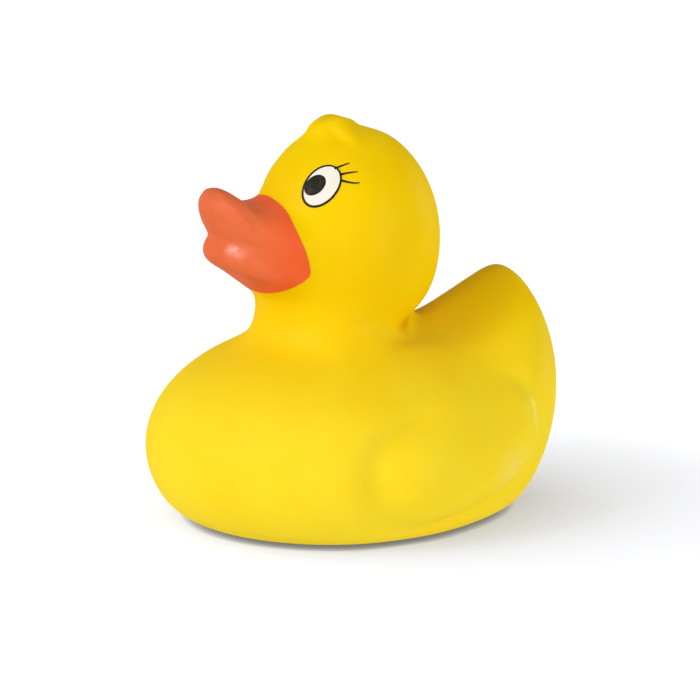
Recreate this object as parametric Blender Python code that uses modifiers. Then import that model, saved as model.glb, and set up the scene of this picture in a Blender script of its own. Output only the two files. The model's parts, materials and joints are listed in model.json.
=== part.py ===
"""Rubber duck: a hollow moulded vinyl bath duck, with the small whistle disc that closes its base.

Run with: blender --background --python part.py, or from Blender's text editor.
Units are metres. Up is +Z, the beak points along -Y, and the duck's left side is +X.
The origin lies on the surface that the duck stands on, under the middle of its box.

The moulding is one skin without an edge, so its form is written as one smooth field: rounded lumps
for the breast, tail, neck, head and beak, blended into each other with fillets of stated size.
Overlapping spheres give the first mesh, and its points are then settled on to the field.
"""

import math

import bmesh
import bpy
import numpy as np
from mathutils import Matrix, Vector

MM = 0.001

# The breast: the wide, low egg at the front that the duck floats on.
BREAST_WIDTH = 71.0 * MM
BREAST_LENGTH = 71.4 * MM
BREAST_DEPTH = 45.8 * MM
BREAST_MIDDLE_Y = -2.8 * MM
BREAST_MIDDLE_Z = 13.7 * MM

# The rump: a taller egg behind it, cut above by the two slopes of the back that rise to the tail.
RUMP_WIDTH = 57.5 * MM
RUMP_LENGTH = 60.6 * MM
RUMP_DEPTH = 66.2 * MM
RUMP_MIDDLE_Y = 11.7 * MM
RUMP_MIDDLE_Z = 23.3 * MM
BACK_START_Y = 12.0 * MM
BACK_START_Z = 34.8 * MM
TAIL_TIP_Y = 34.4 * MM
TAIL_TIP_Z = 46.3 * MM
BACK_SLOPE = 0.74
BACK_RIDGE_RADIUS = 6.1 * MM
TAIL_EDGE_FILLET = 2.9 * MM
RUMP_FILLET = 9.2 * MM

# The neck and the head.
NECK_WIDTH = 27.9 * MM
NECK_LENGTH = 25.9 * MM
NECK_DEPTH = 24.7 * MM
NECK_MIDDLE_Y = -4.2 * MM
NECK_MIDDLE_Z = 38.2 * MM
NECK_FILLET = 9.4 * MM
HEAD_WIDTH = 34.9 * MM
HEAD_LENGTH = 35.8 * MM
HEAD_DEPTH = 43.6 * MM
HEAD_ABOVE_NECK = 14.8 * MM
HEAD_BEHIND_NECK = 4.3 * MM
HEAD_FILLET = 5.1 * MM

# The tuft of feathers on the crown.
TUFT_WIDTH = 8.5 * MM
TUFT_LENGTH = 9.8 * MM
TUFT_DEPTH = 6.2 * MM
TUFT_AHEAD = 2.6 * MM
TUFT_SUNK = 1.4 * MM
TUFT_FILLET = 2.2 * MM

# The beak: a cheek that swells from the face, a lower lip, and an upper lip that leans forward.
CHEEK_WIDTH = 25.8 * MM
CHEEK_LENGTH = 23.0 * MM
CHEEK_DEPTH = 17.3 * MM
CHEEK_AHEAD = 13.3 * MM
CHEEK_DROP = 1.3 * MM
CHEEK_TILT = math.radians(22.7)
CHEEK_SQUARENESS = 2.5
CHEEK_FILLET = 6.4 * MM
LOWER_LIP_WIDTH = 23.0 * MM
LOWER_LIP_LENGTH = 13.4 * MM
LOWER_LIP_DEPTH = 7.8 * MM
LOWER_LIP_AHEAD = 8.5 * MM
LOWER_LIP_RISE = 0.5 * MM
LOWER_LIP_TILT = math.radians(10.8)
LOWER_LIP_SQUARENESS = 2.3
LOWER_LIP_DROOP = 2.6 * MM
LOWER_LIP_SWEEP = 4.0 * MM
LOWER_LIP_FILLET = 3.5 * MM
UPPER_LIP_WIDTH = 20.6 * MM
UPPER_LIP_LENGTH = 15.3 * MM
UPPER_LIP_DEPTH = 7.6 * MM
UPPER_LIP_AHEAD = 10.7 * MM
UPPER_LIP_RISE = 5.8 * MM
UPPER_LIP_TILT = math.radians(57.2)
UPPER_LIP_DROOP = 2.1 * MM
UPPER_LIP_SWEEP = 3.2 * MM
UPPER_LIP_FILLET = 1.9 * MM

# The folded wing: the flank raised inside a rounded outline, more so towards the tip.
WING_LENGTH = 42.4 * MM
WING_DEPTH = 19.2 * MM
WING_MIDDLE_Y = 8.7 * MM
WING_MIDDLE_Z = 16.4 * MM
WING_TILT = math.radians(2.0)
WING_SQUARENESS = 2.4
WING_RISE_AT_SHOULDER = 1.0 * MM
WING_RISE_AT_TIP = 2.0 * MM
WING_ROUNDING = 3.0 * MM
WING_FILLET = 0.8 * MM

# The moulding: its wall, its flat base, and the seat of the whistle in the base.
WALL = 1.5 * MM
BASE_THICKNESS = 3.0 * MM
BASE_ROUNDING = 5.0 * MM
CAVITY_FLOOR_ROUNDING = 4.0 * MM
FLATNESS = 0.1 * MM
THROAT_RADIUS = 5.5 * MM
THROAT_Y = 4.0 * MM
SEAT_RADIUS = 7.5 * MM
SEAT_DEPTH = 1.3 * MM

# The whistle: a turned plug that snaps into the throat from below.
CLEARANCE = 0.3 * MM
WHISTLE_RECESS = 0.3 * MM
WHISTLE_BEAD_REACH = 0.8 * MM
WHISTLE_BEAD_HEIGHT = 1.4 * MM
WHISTLE_NOSE_RADIUS = 4.0 * MM
WHISTLE_NOSE_HEIGHT = 1.6 * MM
WHISTLE_BORE_RADIUS = 1.2 * MM
WHISTLE_MOUTH_RADIUS = 2.2 * MM

# Fineness of the meshes.
SKIN_VOXEL = 1.1 * MM
CAVITY_VOXEL = 2.2 * MM
SKIN_TRIANGLES = 7000
CAVITY_TRIANGLES = 1400
TURNING_STEPS = 40


class Lump:
    """A rounded block: an ellipsoid, or a squarer one, that can be tilted and bent about the middle plane.

    A tilt lifts its front end. A droop is how far its sides hang below its middle, and a sweep is how far
    they lie behind it, both measured at its full half width.
    """

    def __init__(self, middle, size, tilt=0.0, squareness=2.0, droop=0.0, sweep=0.0):
        self.middle = np.array(middle)
        self.radii = np.array(size) / 2
        self.tilt = tilt
        self.squareness = squareness
        self.droop = droop
        self.sweep = sweep

    def field(self, points):
        """About how far each point lies outside the lump, negative inside."""
        x, y, z = (points - self.middle).T
        bend = (x / self.radii[0]) ** 2
        y = y - self.sweep * bend
        z = z + self.droop * bend
        across = y * math.cos(self.tilt) - z * math.sin(self.tilt)
        up = y * math.sin(self.tilt) + z * math.cos(self.tilt)
        share = np.abs(np.stack([x, across, up], axis=1)) / self.radii + 1e-9
        power = self.squareness
        level = (share**power).sum(axis=1) ** (1 / power)
        steepness = np.linalg.norm(share ** (power - 1) / self.radii, axis=1) * level ** (1 - power)
        return (level - 1) / steepness

    def shrunk(self, wall):
        """The same lump with every radius less by the wall, for the cavity."""
        return Lump(
            self.middle, 2 * (self.radii - wall), self.tilt, self.squareness, self.droop, self.sweep
        )

    def add_sphere(self, mesh):
        """Adds the lump to a bmesh as a scaled and tilted sphere."""
        turn = Matrix.Rotation(-self.tilt, 4, "X")
        place = Matrix.Translation(Vector(self.middle)) @ turn @ Matrix.Diagonal((*self.radii, 1.0))
        bmesh.ops.create_uvsphere(mesh, u_segments=48, v_segments=24, radius=1.0, matrix=place)


def beside(middle, ahead=0.0, above=0.0):
    """A place in the middle plane, ahead of and above another one."""
    return (0.0, middle[1] - ahead, middle[2] + above)


BREAST_MIDDLE = (0.0, BREAST_MIDDLE_Y, BREAST_MIDDLE_Z)
RUMP_MIDDLE = (0.0, RUMP_MIDDLE_Y, RUMP_MIDDLE_Z)
NECK_MIDDLE = (0.0, NECK_MIDDLE_Y, NECK_MIDDLE_Z)
HEAD_MIDDLE = beside(NECK_MIDDLE, ahead=-HEAD_BEHIND_NECK, above=HEAD_ABOVE_NECK)
CHEEK_MIDDLE = beside(HEAD_MIDDLE, ahead=CHEEK_AHEAD, above=-CHEEK_DROP)
LOWER_LIP_MIDDLE = beside(CHEEK_MIDDLE, ahead=LOWER_LIP_AHEAD, above=LOWER_LIP_RISE)
UPPER_LIP_MIDDLE = beside(CHEEK_MIDDLE, ahead=UPPER_LIP_AHEAD, above=UPPER_LIP_RISE)
TUFT_MIDDLE = beside(HEAD_MIDDLE, ahead=TUFT_AHEAD, above=HEAD_DEPTH / 2 - TUFT_SUNK)

BREAST = Lump(BREAST_MIDDLE, (BREAST_WIDTH, BREAST_LENGTH, BREAST_DEPTH))
RUMP = Lump(RUMP_MIDDLE, (RUMP_WIDTH, RUMP_LENGTH, RUMP_DEPTH))
NECK = Lump(NECK_MIDDLE, (NECK_WIDTH, NECK_LENGTH, NECK_DEPTH))
HEAD = Lump(HEAD_MIDDLE, (HEAD_WIDTH, HEAD_LENGTH, HEAD_DEPTH))
TUFT = Lump(TUFT_MIDDLE, (TUFT_WIDTH, TUFT_LENGTH, TUFT_DEPTH))
CHEEK = Lump(CHEEK_MIDDLE, (CHEEK_WIDTH, CHEEK_LENGTH, CHEEK_DEPTH), CHEEK_TILT, CHEEK_SQUARENESS)
LOWER_LIP = Lump(
    LOWER_LIP_MIDDLE,
    (LOWER_LIP_WIDTH, LOWER_LIP_LENGTH, LOWER_LIP_DEPTH),
    LOWER_LIP_TILT,
    LOWER_LIP_SQUARENESS,
    LOWER_LIP_DROOP,
    LOWER_LIP_SWEEP,
)
UPPER_LIP = Lump(
    UPPER_LIP_MIDDLE,
    (UPPER_LIP_WIDTH, UPPER_LIP_LENGTH, UPPER_LIP_DEPTH),
    tilt=UPPER_LIP_TILT,
    droop=UPPER_LIP_DROOP,
    sweep=UPPER_LIP_SWEEP,
)


def joined(first, second, fillet):
    """The union of two fields, with a fillet about that wide along the seam."""
    overlap = np.maximum(fillet - np.abs(first - second), 0.0) / fillet
    return np.minimum(first, second) - overlap**3 * fillet / 6


def trimmed(first, second, rounding):
    """What lies inside both fields, with the edge between them rounded."""
    return -joined(-first, -second, rounding)


def back_field(points):
    """The back: two slopes that fall to the sides of a rounded ridge, which rises towards the tail's tip."""
    x, y, z = points.T
    rise = (TAIL_TIP_Z - BACK_START_Z) / (TAIL_TIP_Y - BACK_START_Y)
    ridge = BACK_START_Z + rise * (y - BACK_START_Y)
    fall = BACK_SLOPE * (np.sqrt(x**2 + BACK_RIDGE_RADIUS**2) - BACK_RIDGE_RADIUS)
    return (z - ridge + fall) / math.sqrt(1 + BACK_SLOPE**2)


def torso_field(points, wall=0.0):
    """The breast and the rump, with the wall taken off on every side for the cavity."""
    breast = BREAST.field(points) + wall
    rump = RUMP.field(points) + wall
    tail = trimmed(rump, back_field(points) + wall, TAIL_EDGE_FILLET)
    return joined(breast, tail, RUMP_FILLET)


def wing_field(points, torso):
    """The torso's own skin, lifted inside the outline that the wing has from the side."""
    y = points[:, 1] - WING_MIDDLE_Y
    z = points[:, 2] - WING_MIDDLE_Z
    along = y * math.cos(WING_TILT) + z * math.sin(WING_TILT)
    across = z * math.cos(WING_TILT) - y * math.sin(WING_TILT)
    half_length = WING_LENGTH / 2
    half_depth = WING_DEPTH / 2
    power = WING_SQUARENESS
    level = ((np.abs(along) / half_length) ** power + (np.abs(across) / half_depth) ** power) ** (1 / power)
    outline = (level - 1) * half_depth
    share = np.clip((along + half_length) / WING_LENGTH, 0.0, 1.0)
    ease = share**2 * (3 - 2 * share)
    rise = WING_RISE_AT_SHOULDER + (WING_RISE_AT_TIP - WING_RISE_AT_SHOULDER) * ease
    return trimmed(torso - rise, outline, WING_ROUNDING)


def duck_field(points):
    """The whole outside of the moulding. Both sides are alike, so it reads each point's distance from the middle."""
    points = points * (1.0, 1.0, 1.0)
    points[:, 0] = np.abs(points[:, 0])
    torso = torso_field(points)
    skin = joined(torso, wing_field(points, torso), WING_FILLET)
    skin = joined(skin, NECK.field(points), NECK_FILLET)
    skin = joined(skin, HEAD.field(points), HEAD_FILLET)
    skin = joined(skin, CHEEK.field(points), CHEEK_FILLET)
    skin = joined(skin, LOWER_LIP.field(points), LOWER_LIP_FILLET)
    skin = joined(skin, UPPER_LIP.field(points), UPPER_LIP_FILLET)
    skin = joined(skin, TUFT.field(points), TUFT_FILLET)
    return trimmed(skin, -points[:, 2], BASE_ROUNDING)


def cavity_field(points):
    """The hollow inside: the plain form of the duck, one wall in, above the thicker base."""
    hollow = torso_field(points, WALL)
    hollow = joined(hollow, NECK.field(points) + WALL, NECK_FILLET)
    hollow = joined(hollow, HEAD.field(points) + WALL, HEAD_FILLET)
    hollow = joined(hollow, CHEEK.field(points) + WALL, CHEEK_FILLET)
    return trimmed(hollow, BASE_THICKNESS - points[:, 2], CAVITY_FLOOR_ROUNDING)


def collection_named(name):
    collection = bpy.data.collections.new(name)
    bpy.context.scene.collection.children.link(collection)
    return collection


def new_object(name, mesh, collection):
    """Puts a bmesh into a named object and frees it."""
    data = bpy.data.meshes.new(name)
    mesh.to_mesh(data)
    mesh.free()
    made = bpy.data.objects.new(name, data)
    collection.objects.link(made)
    return made


def with_modifiers_applied(made):
    """Swaps an object's mesh for its evaluated one and clears the modifiers."""
    graph = bpy.context.evaluated_depsgraph_get()
    data = bpy.data.meshes.new_from_object(made.evaluated_get(graph))
    made.modifiers.clear()
    made.data = data
    return made


def cut_by_back(mesh):
    """Cuts the rump's sphere along the two slopes of the back and closes each cut."""
    rise = (TAIL_TIP_Z - BACK_START_Z) / (TAIL_TIP_Y - BACK_START_Y)
    ridge_point = (0.0, BACK_START_Y, BACK_START_Z)
    for side in (-1, 1):
        everything = mesh.verts[:] + mesh.edges[:] + mesh.faces[:]
        cut = bmesh.ops.bisect_plane(
            mesh,
            geom=everything,
            plane_co=ridge_point,
            plane_no=(side * BACK_SLOPE, -rise, 1.0),
            clear_outer=True,
        )
        rim = [piece for piece in cut["geom_cut"] if isinstance(piece, bmesh.types.BMEdge)]
        bmesh.ops.contextual_create(mesh, geom=rim)


def first_shape(name, lumps, rump, collection):
    """The first rough shape: overlapping spheres, the rump's cut by the back."""
    rough = bmesh.new()
    rump.add_sphere(rough)
    cut_by_back(rough)
    for lump in lumps:
        lump.add_sphere(rough)
    return new_object(name, rough, collection)


def press_flat(made, height):
    """Flattens what lies below a height, or hardly above it, on to it."""
    points = read_points(made.data)
    points[points[:, 2] < height + FLATNESS, 2] = height
    write_points(made.data, points)


def remeshed_halves(made, voxel):
    """Remeshes the rough shape into one skin, then makes its right side the mirror of its left."""
    remesh = made.modifiers.new("one_skin", "REMESH")
    remesh.mode = "VOXEL"
    remesh.voxel_size = voxel
    with_modifiers_applied(made)
    half = bmesh.new()
    half.from_mesh(made.data)
    everything = half.verts[:] + half.edges[:] + half.faces[:]
    bmesh.ops.bisect_plane(
        half, geom=everything, plane_co=(0, 0, 0), plane_no=(-1, 0, 0), dist=voxel / 20, clear_outer=True
    )
    for vertex in half.verts:
        if vertex.is_boundary:
            vertex.co.x = 0.0
    half.to_mesh(made.data)
    half.free()
    mirror = made.modifiers.new("other_side", "MIRROR")
    mirror.merge_threshold = 0.00001
    return with_modifiers_applied(made)


def read_points(data):
    flat = np.empty(len(data.vertices) * 3, np.float32)
    data.vertices.foreach_get("co", flat)
    return flat.reshape(-1, 3).astype(float)


def write_points(data, points):
    data.vertices.foreach_set("co", points.astype(np.float32).ravel())
    data.update()


def slope_of(field, points, reach=0.01 * MM):
    """The field's gradient, from its values a little way to each side."""
    slope = np.empty_like(points)
    for axis in range(3):
        step = np.zeros(3)
        step[axis] = reach
        slope[:, axis] = (field(points + step) - field(points - step)) / (2 * reach)
    return slope


def settle(made, field, rounds=8):
    """Moves every point along the field's slope until it lies on the surface."""
    points = read_points(made.data)
    for _ in range(rounds):
        slope = slope_of(field, points)
        steepness = np.maximum((slope**2).sum(axis=1), 0.05)
        move = -(field(points) / steepness)[:, None] * slope
        points += np.clip(move, -1.5 * MM, 1.5 * MM)
    write_points(made.data, points)


def relax(made, rounds):
    """Evens out the mesh along the surface, which settle then puts back in its place."""
    smooth = made.modifiers.new("even", "SMOOTH")
    smooth.factor = 0.5
    smooth.iterations = rounds
    with_modifiers_applied(made)


def thin_out(made, triangles):
    """Takes out triangles where the surface is flattest, alike on both sides."""
    made.data.calc_loop_triangles()
    thinner = made.modifiers.new("fewer", "DECIMATE")
    thinner.ratio = min(1.0, triangles / len(made.data.loop_triangles))
    thinner.use_symmetry = True
    thinner.symmetry_axis = "X"
    thinner.use_collapse_triangulate = True
    with_modifiers_applied(made)


def settled_skin(made, field, floor, voxel, triangles):
    """From the rough shape to the finished skin on its field, with a flat floor."""
    press_flat(made, floor)
    remeshed_halves(made, voxel)
    settle(made, field)
    relax(made, rounds=3)
    settle(made, field)
    thin_out(made, triangles)
    settle(made, field, rounds=4)
    press_flat(made, floor)


def turned(name, profile, collection, closed=True):
    """A profile of (radius, height) points, which runs down its outer side, turned about its axis."""
    outline = bmesh.new()
    points = [outline.verts.new((radius, 0.0, height)) for radius, height in profile]
    for start, end in zip(points, points[1:]):
        outline.edges.new((start, end))
    if closed:
        outline.edges.new((points[-1], points[0]))
    made = new_object(name, outline, collection)
    screw = made.modifiers.new("turn", "SCREW")
    screw.axis = "Z"
    screw.steps = TURNING_STEPS
    screw.render_steps = TURNING_STEPS
    screw.use_merge_vertices = True
    screw.merge_threshold = 0.00001
    return made


def cut(target, cutter, name):
    boolean = target.modifiers.new(name, "BOOLEAN")
    boolean.operation = "DIFFERENCE"
    boolean.solver = "EXACT"
    boolean.object = cutter
    cutter.hide_render = True
    cutter.display_type = "WIRE"


def paint(made, name, hex_colour, roughness):
    """Gives an object one Principled material of an sRGB colour."""
    channels = [int(hex_colour[start : start + 2], 16) / 255 for start in (1, 3, 5)]
    linear = [c / 12.92 if c <= 0.04045 else ((c + 0.055) / 1.055) ** 2.4 for c in channels]
    material = bpy.data.materials.new(name)
    material.use_nodes = True
    shader = material.node_tree.nodes["Principled BSDF"]
    shader.inputs["Base Color"].default_value = (*linear, 1.0)
    shader.inputs["Roughness"].default_value = roughness
    shader.inputs["Metallic"].default_value = 0.0
    made.data.materials.clear()
    made.data.materials.append(material)
    return material


def make_skin(collection):
    """The outside of the duck, still solid."""
    skin = first_shape("duck_body", (BREAST, NECK, HEAD, CHEEK, LOWER_LIP, UPPER_LIP, TUFT), RUMP, collection)
    settled_skin(skin, duck_field, 0.0, SKIN_VOXEL, SKIN_TRIANGLES)
    return skin


def make_cavity(collection):
    """The hollow, as a cutter."""
    lumps = [lump.shrunk(WALL) for lump in (BREAST, NECK, HEAD, CHEEK)]
    cavity = first_shape("cavity", lumps, RUMP.shrunk(WALL), collection)
    settled_skin(cavity, cavity_field, BASE_THICKNESS, CAVITY_VOXEL, CAVITY_TRIANGLES)
    return cavity


def make_throat(collection, middle_y):
    """The stepped hole in the base: the wide seat below and the throat up into the hollow."""
    below = -1.0 * MM
    above = BASE_THICKNESS + 1.0 * MM
    profile = [
        (0.0, above),
        (THROAT_RADIUS, above),
        (THROAT_RADIUS, SEAT_DEPTH),
        (SEAT_RADIUS, SEAT_DEPTH),
        (SEAT_RADIUS, below),
        (0.0, below),
    ]
    throat = with_modifiers_applied(turned("throat", profile, collection, closed=False))
    throat.location = (0.0, middle_y, 0.0)
    return throat


def make_whistle(collection, middle_y):
    """The whistle: a flange in the seat, a waist in the throat, and a bead above it that holds it in."""
    flange = SEAT_RADIUS - CLEARANCE
    waist = THROAT_RADIUS - CLEARANCE
    bead = THROAT_RADIUS + WHISTLE_BEAD_REACH
    low = WHISTLE_RECESS
    seat = SEAT_DEPTH - CLEARANCE
    shelf = BASE_THICKNESS + CLEARANCE
    shoulder = shelf + WHISTLE_BEAD_HEIGHT
    top = shoulder + WHISTLE_NOSE_HEIGHT
    profile = [
        (WHISTLE_MOUTH_RADIUS, low),
        (flange, low),
        (flange, seat),
        (waist, seat),
        (waist, shelf),
        (bead, shelf),
        (WHISTLE_NOSE_RADIUS, shoulder),
        (WHISTLE_NOSE_RADIUS, top),
        (WHISTLE_BORE_RADIUS, top),
        (WHISTLE_BORE_RADIUS, seat),
    ]
    whistle = turned("whistle", list(reversed(profile)), collection)
    whistle.location = (0.0, middle_y, 0.0)
    return whistle


def centre_on_base(made, others):
    """Moves the model along Y so that the origin is under the middle of the duck's box."""
    points = read_points(made.data)
    shift = -(points[:, 1].min() + points[:, 1].max()) / 2
    for each in (made, *others):
        each.location.y += shift


def main():
    for old in list(bpy.data.objects):
        bpy.data.objects.remove(old, do_unlink=True)
    duck = collection_named("rubber_duck")
    cutters = collection_named("cutters")
    skin = make_skin(duck)
    cavity = make_cavity(cutters)
    throat = make_throat(cutters, THROAT_Y)
    whistle = make_whistle(duck, THROAT_Y)
    cut(skin, cavity, "hollow")
    cut(skin, throat, "throat")
    centre_on_base(skin, (cavity, throat, whistle))
    paint(skin, "yellow_vinyl", "#FCD620", 0.38)
    paint(whistle, "whistle_plastic", "#F1F0EA", 0.45)
    skin.data.shade_smooth()
    whistle.data.shade_smooth()


main()
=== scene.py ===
# %% [markdown]
# # A rubber duck
# A bath duck is one hollow skin of soft vinyl. The maker pours liquid PVC into a metal mould, turns the
# mould in an oven so that the liquid coats its inside, and pulls the soft skin out through the base.
# The beak is then sprayed orange through a mask, the eyes are printed with a soft pad, and a small
# whistle is pressed into the hole in the base.
#
# The notebook follows that order: the moulding first, then the paint, then the print, and then the
# studio that it is photographed in. The solids of the duck are loaded first. They give its size and
# place, and nothing here moves them.

import json
import math

import bmesh
import bpy
import numpy as np
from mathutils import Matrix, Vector

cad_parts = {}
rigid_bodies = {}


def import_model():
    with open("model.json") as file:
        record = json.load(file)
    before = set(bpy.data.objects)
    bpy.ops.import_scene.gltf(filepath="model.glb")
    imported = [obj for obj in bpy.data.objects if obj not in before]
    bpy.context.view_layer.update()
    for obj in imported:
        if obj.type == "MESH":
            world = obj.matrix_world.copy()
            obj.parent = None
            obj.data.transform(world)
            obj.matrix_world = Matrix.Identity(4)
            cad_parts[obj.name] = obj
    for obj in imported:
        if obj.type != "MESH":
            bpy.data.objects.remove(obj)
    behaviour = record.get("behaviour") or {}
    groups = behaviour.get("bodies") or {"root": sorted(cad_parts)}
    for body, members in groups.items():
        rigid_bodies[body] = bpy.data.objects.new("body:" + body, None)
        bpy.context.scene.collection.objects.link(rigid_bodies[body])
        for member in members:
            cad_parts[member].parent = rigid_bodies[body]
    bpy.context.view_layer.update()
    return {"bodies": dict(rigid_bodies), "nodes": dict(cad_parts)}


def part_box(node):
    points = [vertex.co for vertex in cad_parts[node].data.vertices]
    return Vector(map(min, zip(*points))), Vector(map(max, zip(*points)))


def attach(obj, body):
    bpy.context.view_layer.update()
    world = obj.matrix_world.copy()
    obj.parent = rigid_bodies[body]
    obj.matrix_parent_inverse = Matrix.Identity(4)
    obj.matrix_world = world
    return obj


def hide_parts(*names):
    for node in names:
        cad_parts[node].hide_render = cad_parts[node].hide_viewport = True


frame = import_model()

# %% [markdown]
# ## The camera
# The duck is seen from its front left, from a little above. A long lens from 60 cm away keeps the beak
# and the tail at nearly the same scale, as product photographers like it. The camera is placed by its
# direction, its distance and the point that it looks at, so that it can be turned without guessing.

# %% Place the camera
MM = 0.001
CAMERA_AZIMUTH = math.radians(64.0)
CAMERA_HEIGHT = math.radians(12.0)
CAMERA_DISTANCE = 600.0 * MM
LENS = 160.46
LOOKS_RIGHT_OF_ORIGIN = 0.8 * MM
LOOKS_ABOVE_ORIGIN = 30.6 * MM
WHISTLE_AXIS_Y = 4.0 * MM

whistle_low, whistle_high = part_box("whistle")
drawing_origin = np.array((0.0, (whistle_low.y + whistle_high.y) / 2 - WHISTLE_AXIS_Y, 0.0))

backward = Vector(
    (
        math.sin(CAMERA_AZIMUTH) * math.cos(CAMERA_HEIGHT),
        -math.cos(CAMERA_AZIMUTH) * math.cos(CAMERA_HEIGHT),
        math.sin(CAMERA_HEIGHT),
    )
)
rightward = Vector((math.cos(CAMERA_AZIMUTH), math.sin(CAMERA_AZIMUTH), 0.0))
upward = backward.cross(rightward)
looked_at = Vector(drawing_origin) + rightward * LOOKS_RIGHT_OF_ORIGIN + upward * LOOKS_ABOVE_ORIGIN

camera_data = bpy.data.cameras.new("camera")
camera_data.lens = LENS
camera_data.clip_start = 0.05
camera_data.clip_end = 20.0
camera = bpy.data.objects.new("camera", camera_data)
camera.location = looked_at + backward * CAMERA_DISTANCE
camera.rotation_mode = "QUATERNION"
camera.rotation_quaternion = backward.to_track_quat("Z", "Y")
bpy.context.scene.collection.objects.link(camera)
bpy.context.scene.camera = camera
print("the camera stands at", tuple(round(c, 3) for c in camera.location))

# %% [markdown]
# ## The form, drawn as one smooth field
# A moulded duck has no edges to start from: every swelling flows into the next. A cage of quads could
# be pushed towards it, but the fillets would be guesswork. Here each swelling is an ellipsoid, and a
# smooth minimum joins them with a fillet of a stated size. The result is a field: a number for every
# point in space, negative inside the duck, zero on its skin and positive outside.
#
# Sizes are in millimetres, as a mould maker would write them. The drawing's own origin lies a little
# in front of the whistle's axis, and the whistle in the base says where that is in the frame.

# %% Lumps and the ways to join them
def lump(points, middle, size, tilt=0.0, squareness=2.0, section=2.0, droop=0.0, sweep=0.0):
    """About how far points lie outside a rounded block, in millimetres.

    At 2 the squareness and the section give an ellipse, seen from above and from the side, and above 2
    a fuller, squarer form. A tilt, in degrees, lifts the front end. The sides hang by the droop and
    lie back by the sweep.
    """
    radii = np.array(size) / 2
    x, y, z = (points - middle).T
    bend = (x / radii[0]) ** 2
    y = y - sweep * bend
    z = z + droop * bend
    cosine, sine = math.cos(math.radians(tilt)), math.sin(math.radians(tilt))
    share = np.abs(np.stack([x, y * cosine - z * sine, y * sine + z * cosine], axis=1)) / radii + 1e-9
    plan = (share[:, :2] ** squareness).sum(axis=1) ** (1 / squareness)
    level = (plan**section + share[:, 2] ** section) ** (1 / section)
    climb = share ** (squareness - 1) * (plan ** (section - squareness))[:, None]
    climb[:, 2] = share[:, 2] ** (section - 1)
    steepness = np.linalg.norm(climb / radii, axis=1) * level ** (1 - section)
    return (level - 1) / steepness


def joined(first, second, fillet):
    """The union of two fields, with a fillet about that wide along the seam."""
    overlap = np.maximum(fillet - np.abs(first - second), 0.0) / fillet
    return np.minimum(first, second) - overlap**3 * fillet / 6


def trimmed(first, second, rounding):
    """What lies inside both fields, with the edge between them rounded."""
    return -joined(-first, -second, rounding)


def eased(value, start, end):
    """Rises smoothly from 0 at the start to 1 at the end."""
    share = np.clip((value - start) / (end - start), 0.0, 1.0)
    return share**2 * (3 - 2 * share)


def between(values, share):
    """A value between the two in a pair, the first at 0 and the second at 1."""
    first, second = values
    return first * (1 - share) + second * share


ball = lump(np.zeros((1, 3)), middle=(0.0, 0.0, 0.0), size=(10.0, 10.0, 10.0))
print("the field in the middle of a ball 10 mm wide is", round(float(ball[0]), 3))

# %% [markdown]
# ## The torso
# The breast is a wide, low egg. The rump is a taller one, and two slopes that fall away from a rounded
# ridge cut it above, so that the back rises to a pointed tail. The edge round the tail is tight at the
# ridge and softens towards the sides.

# %% Breast, rump and tail
BREAST = {"middle": (0.0, -2.8, 13.7), "size": (71.0, 71.4, 45.8)}
RUMP = {"middle": (0.0, 11.7, 23.3), "size": (57.5, 60.6, 66.2)}
RUMP_FILLET = 9.2
BACK_START = (12.0, 34.8)
TAIL_TIP = (34.4, 46.3)
BACK_SLOPE = 0.74
BACK_RIDGE_RADIUS = 6.1
TAIL_EDGE_FILLETS = (4.2, 14.0)
TAIL_EDGE_SOFTENS = (4.0, 18.0)


def back(points):
    """The two slopes of the back and the ridge between them, which rises to the tail's tip."""
    x, y, z = points.T
    rise = (TAIL_TIP[1] - BACK_START[1]) / (TAIL_TIP[0] - BACK_START[0])
    ridge = BACK_START[1] + rise * (y - BACK_START[0])
    fall = BACK_SLOPE * (np.sqrt(x**2 + BACK_RIDGE_RADIUS**2) - BACK_RIDGE_RADIUS)
    return (z - ridge + fall) / math.sqrt(1 + BACK_SLOPE**2)


def torso(points):
    """The breast and the rump, with an edge round the tail that softens away from the ridge."""
    fillet = between(TAIL_EDGE_FILLETS, eased(points[:, 0], *TAIL_EDGE_SOFTENS))
    tail = trimmed(lump(points, **RUMP), back(points), fillet)
    return joined(lump(points, **BREAST), tail, RUMP_FILLET)


print("the breast is", BREAST["size"], "mm wide, long and high")

# %% [markdown]
# ## The folded wing
# The wing is not a part of its own. It is the flank, lifted by a millimetre and a half inside a rounded
# outline, with a shallow groove round it. At the shoulder the lift is broad and soft, and at the tip it
# ends in a crisp edge. Along most of the top there is no edge at all: the back above it is lifted as
# well, and the lift fades out over nearly two centimetres.

# %% Wing
WING_LENGTH = 39.8
WING_DEPTH = 20.6
WING_MIDDLE = (9.8, 15.8)
WING_TILT = math.radians(12.9)
WING_SQUARENESS = 3.2
WING_RISES = (1.5, 1.8)  # at the shoulder and at the tip, as are the next three pairs
WING_EDGES = (6.5, 2.2)
GROOVE_DEPTHS = (1.35, 0.45)
GROOVE_HALF_WIDTHS = (1.8, 1.3)
TIP_SPAN = (9.0, 19.0)  # where a change begins and ends, as in every pair from here on
GROOVE_THINS = (-12.0, 10.0)
OPEN_TOP_BEGINS = (-10.0, 3.0)
LIFT_FADES = (2.0, 20.0)


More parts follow.
